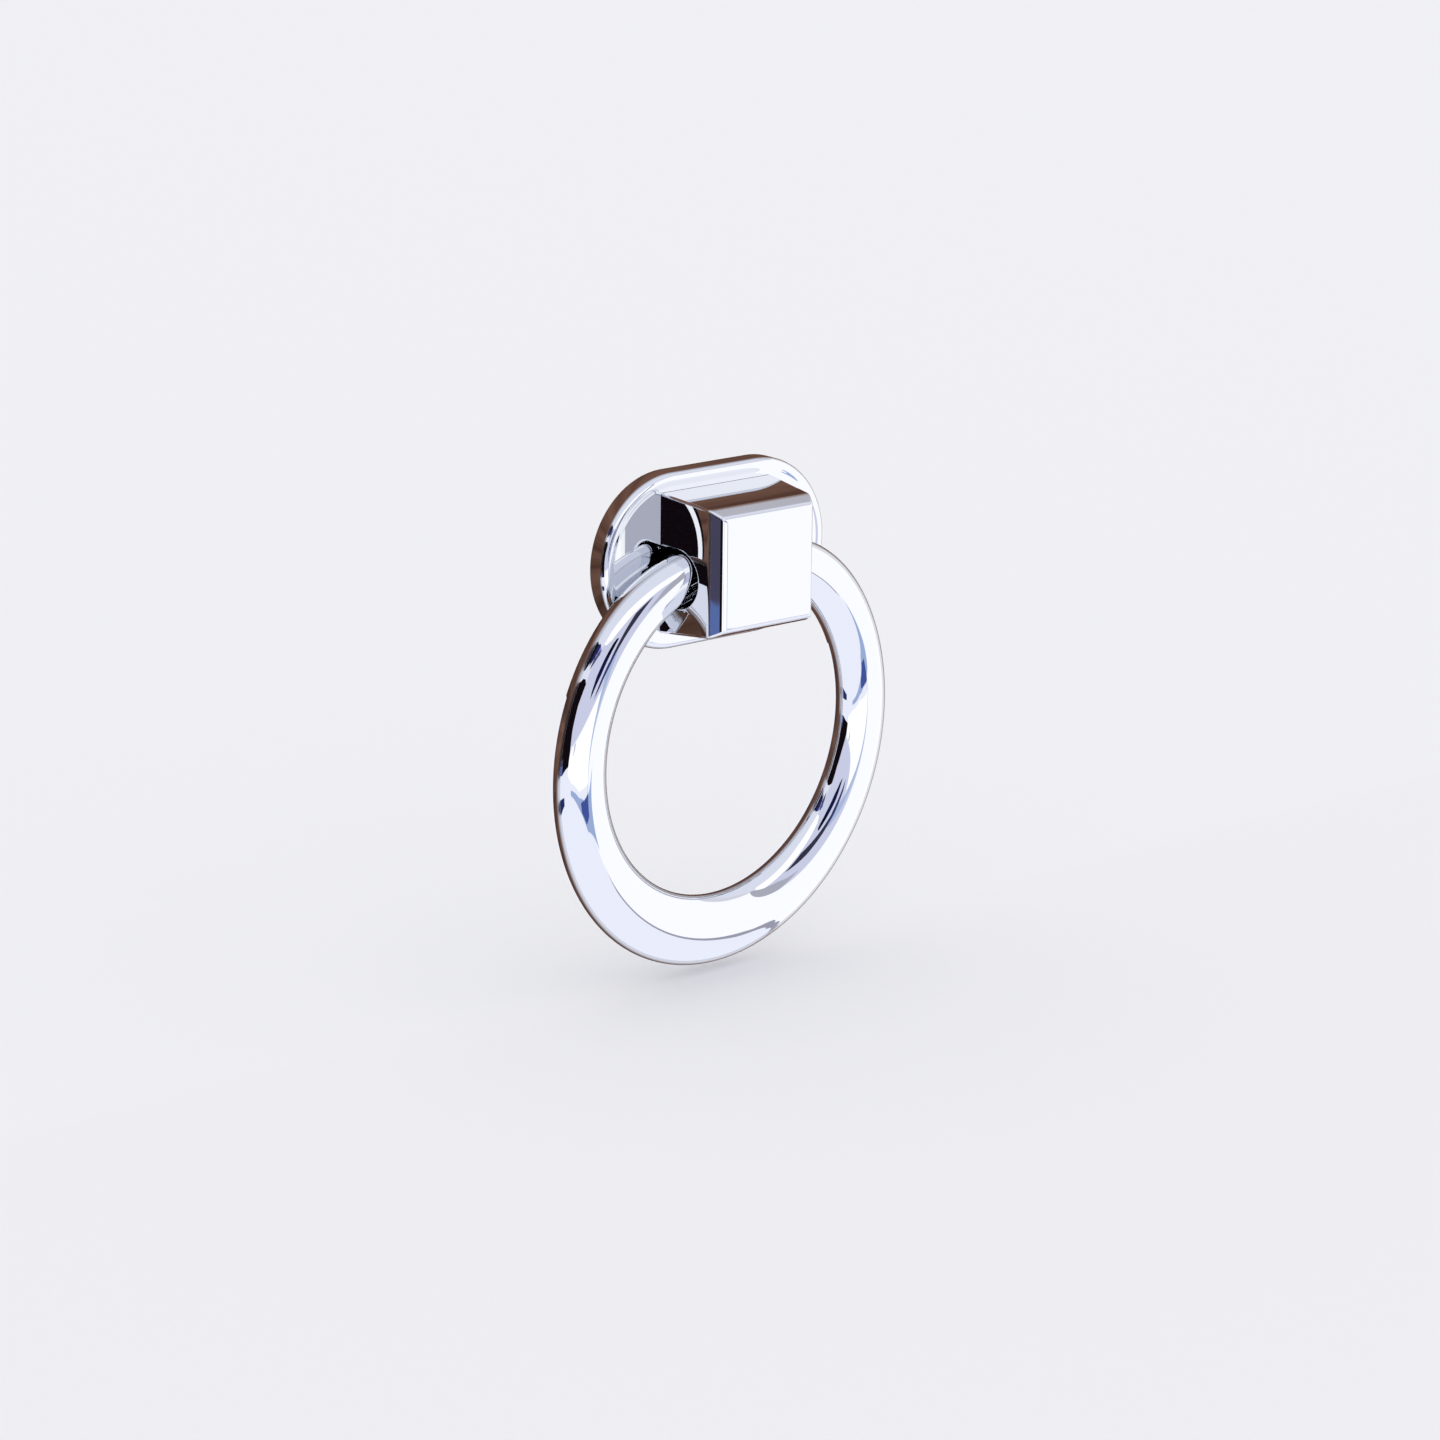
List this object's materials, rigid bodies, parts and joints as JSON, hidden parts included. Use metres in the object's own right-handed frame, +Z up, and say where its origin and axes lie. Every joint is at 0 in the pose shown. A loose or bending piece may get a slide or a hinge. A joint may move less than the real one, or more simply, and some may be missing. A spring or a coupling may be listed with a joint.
{
  "type": "ring pull handle",
  "caption": "Ring pull for a cabinet door or drawer: an obround back plate carries a bevelled square head; a closed oval ring, thicker below, swings in notches in its sides.",
  "frame": {"origin": "middle of the flat back face of the plate, where it meets the panel", "axes": "+X to the right seen from the front, +Y into the panel, +Z up; the ring hangs towards -Z, leaning back 3.5 degrees"},
  "size_m": [0.06, 0.0146, 0.0726],
  "materials": {
    "polished_chrome": "polished chrome plate on die-cast zinc",
    "zinc_plated_steel": "zinc plated"
  },
  "bodies": {
    "base": {"back_plate": "polished_chrome", "head": "polished_chrome", "plate_screws": "zinc_plated_steel"},
    "ring": {"ring": "polished_chrome"}
  },
  "joints": [
    {"name": "ring_swing", "type": "hinge", "parent": "base", "child": "ring", "pos_m": [0, -0.00665, -0.00167], "axis": [-1, 0, 0], "range_deg": [0, 186]}
  ]
}
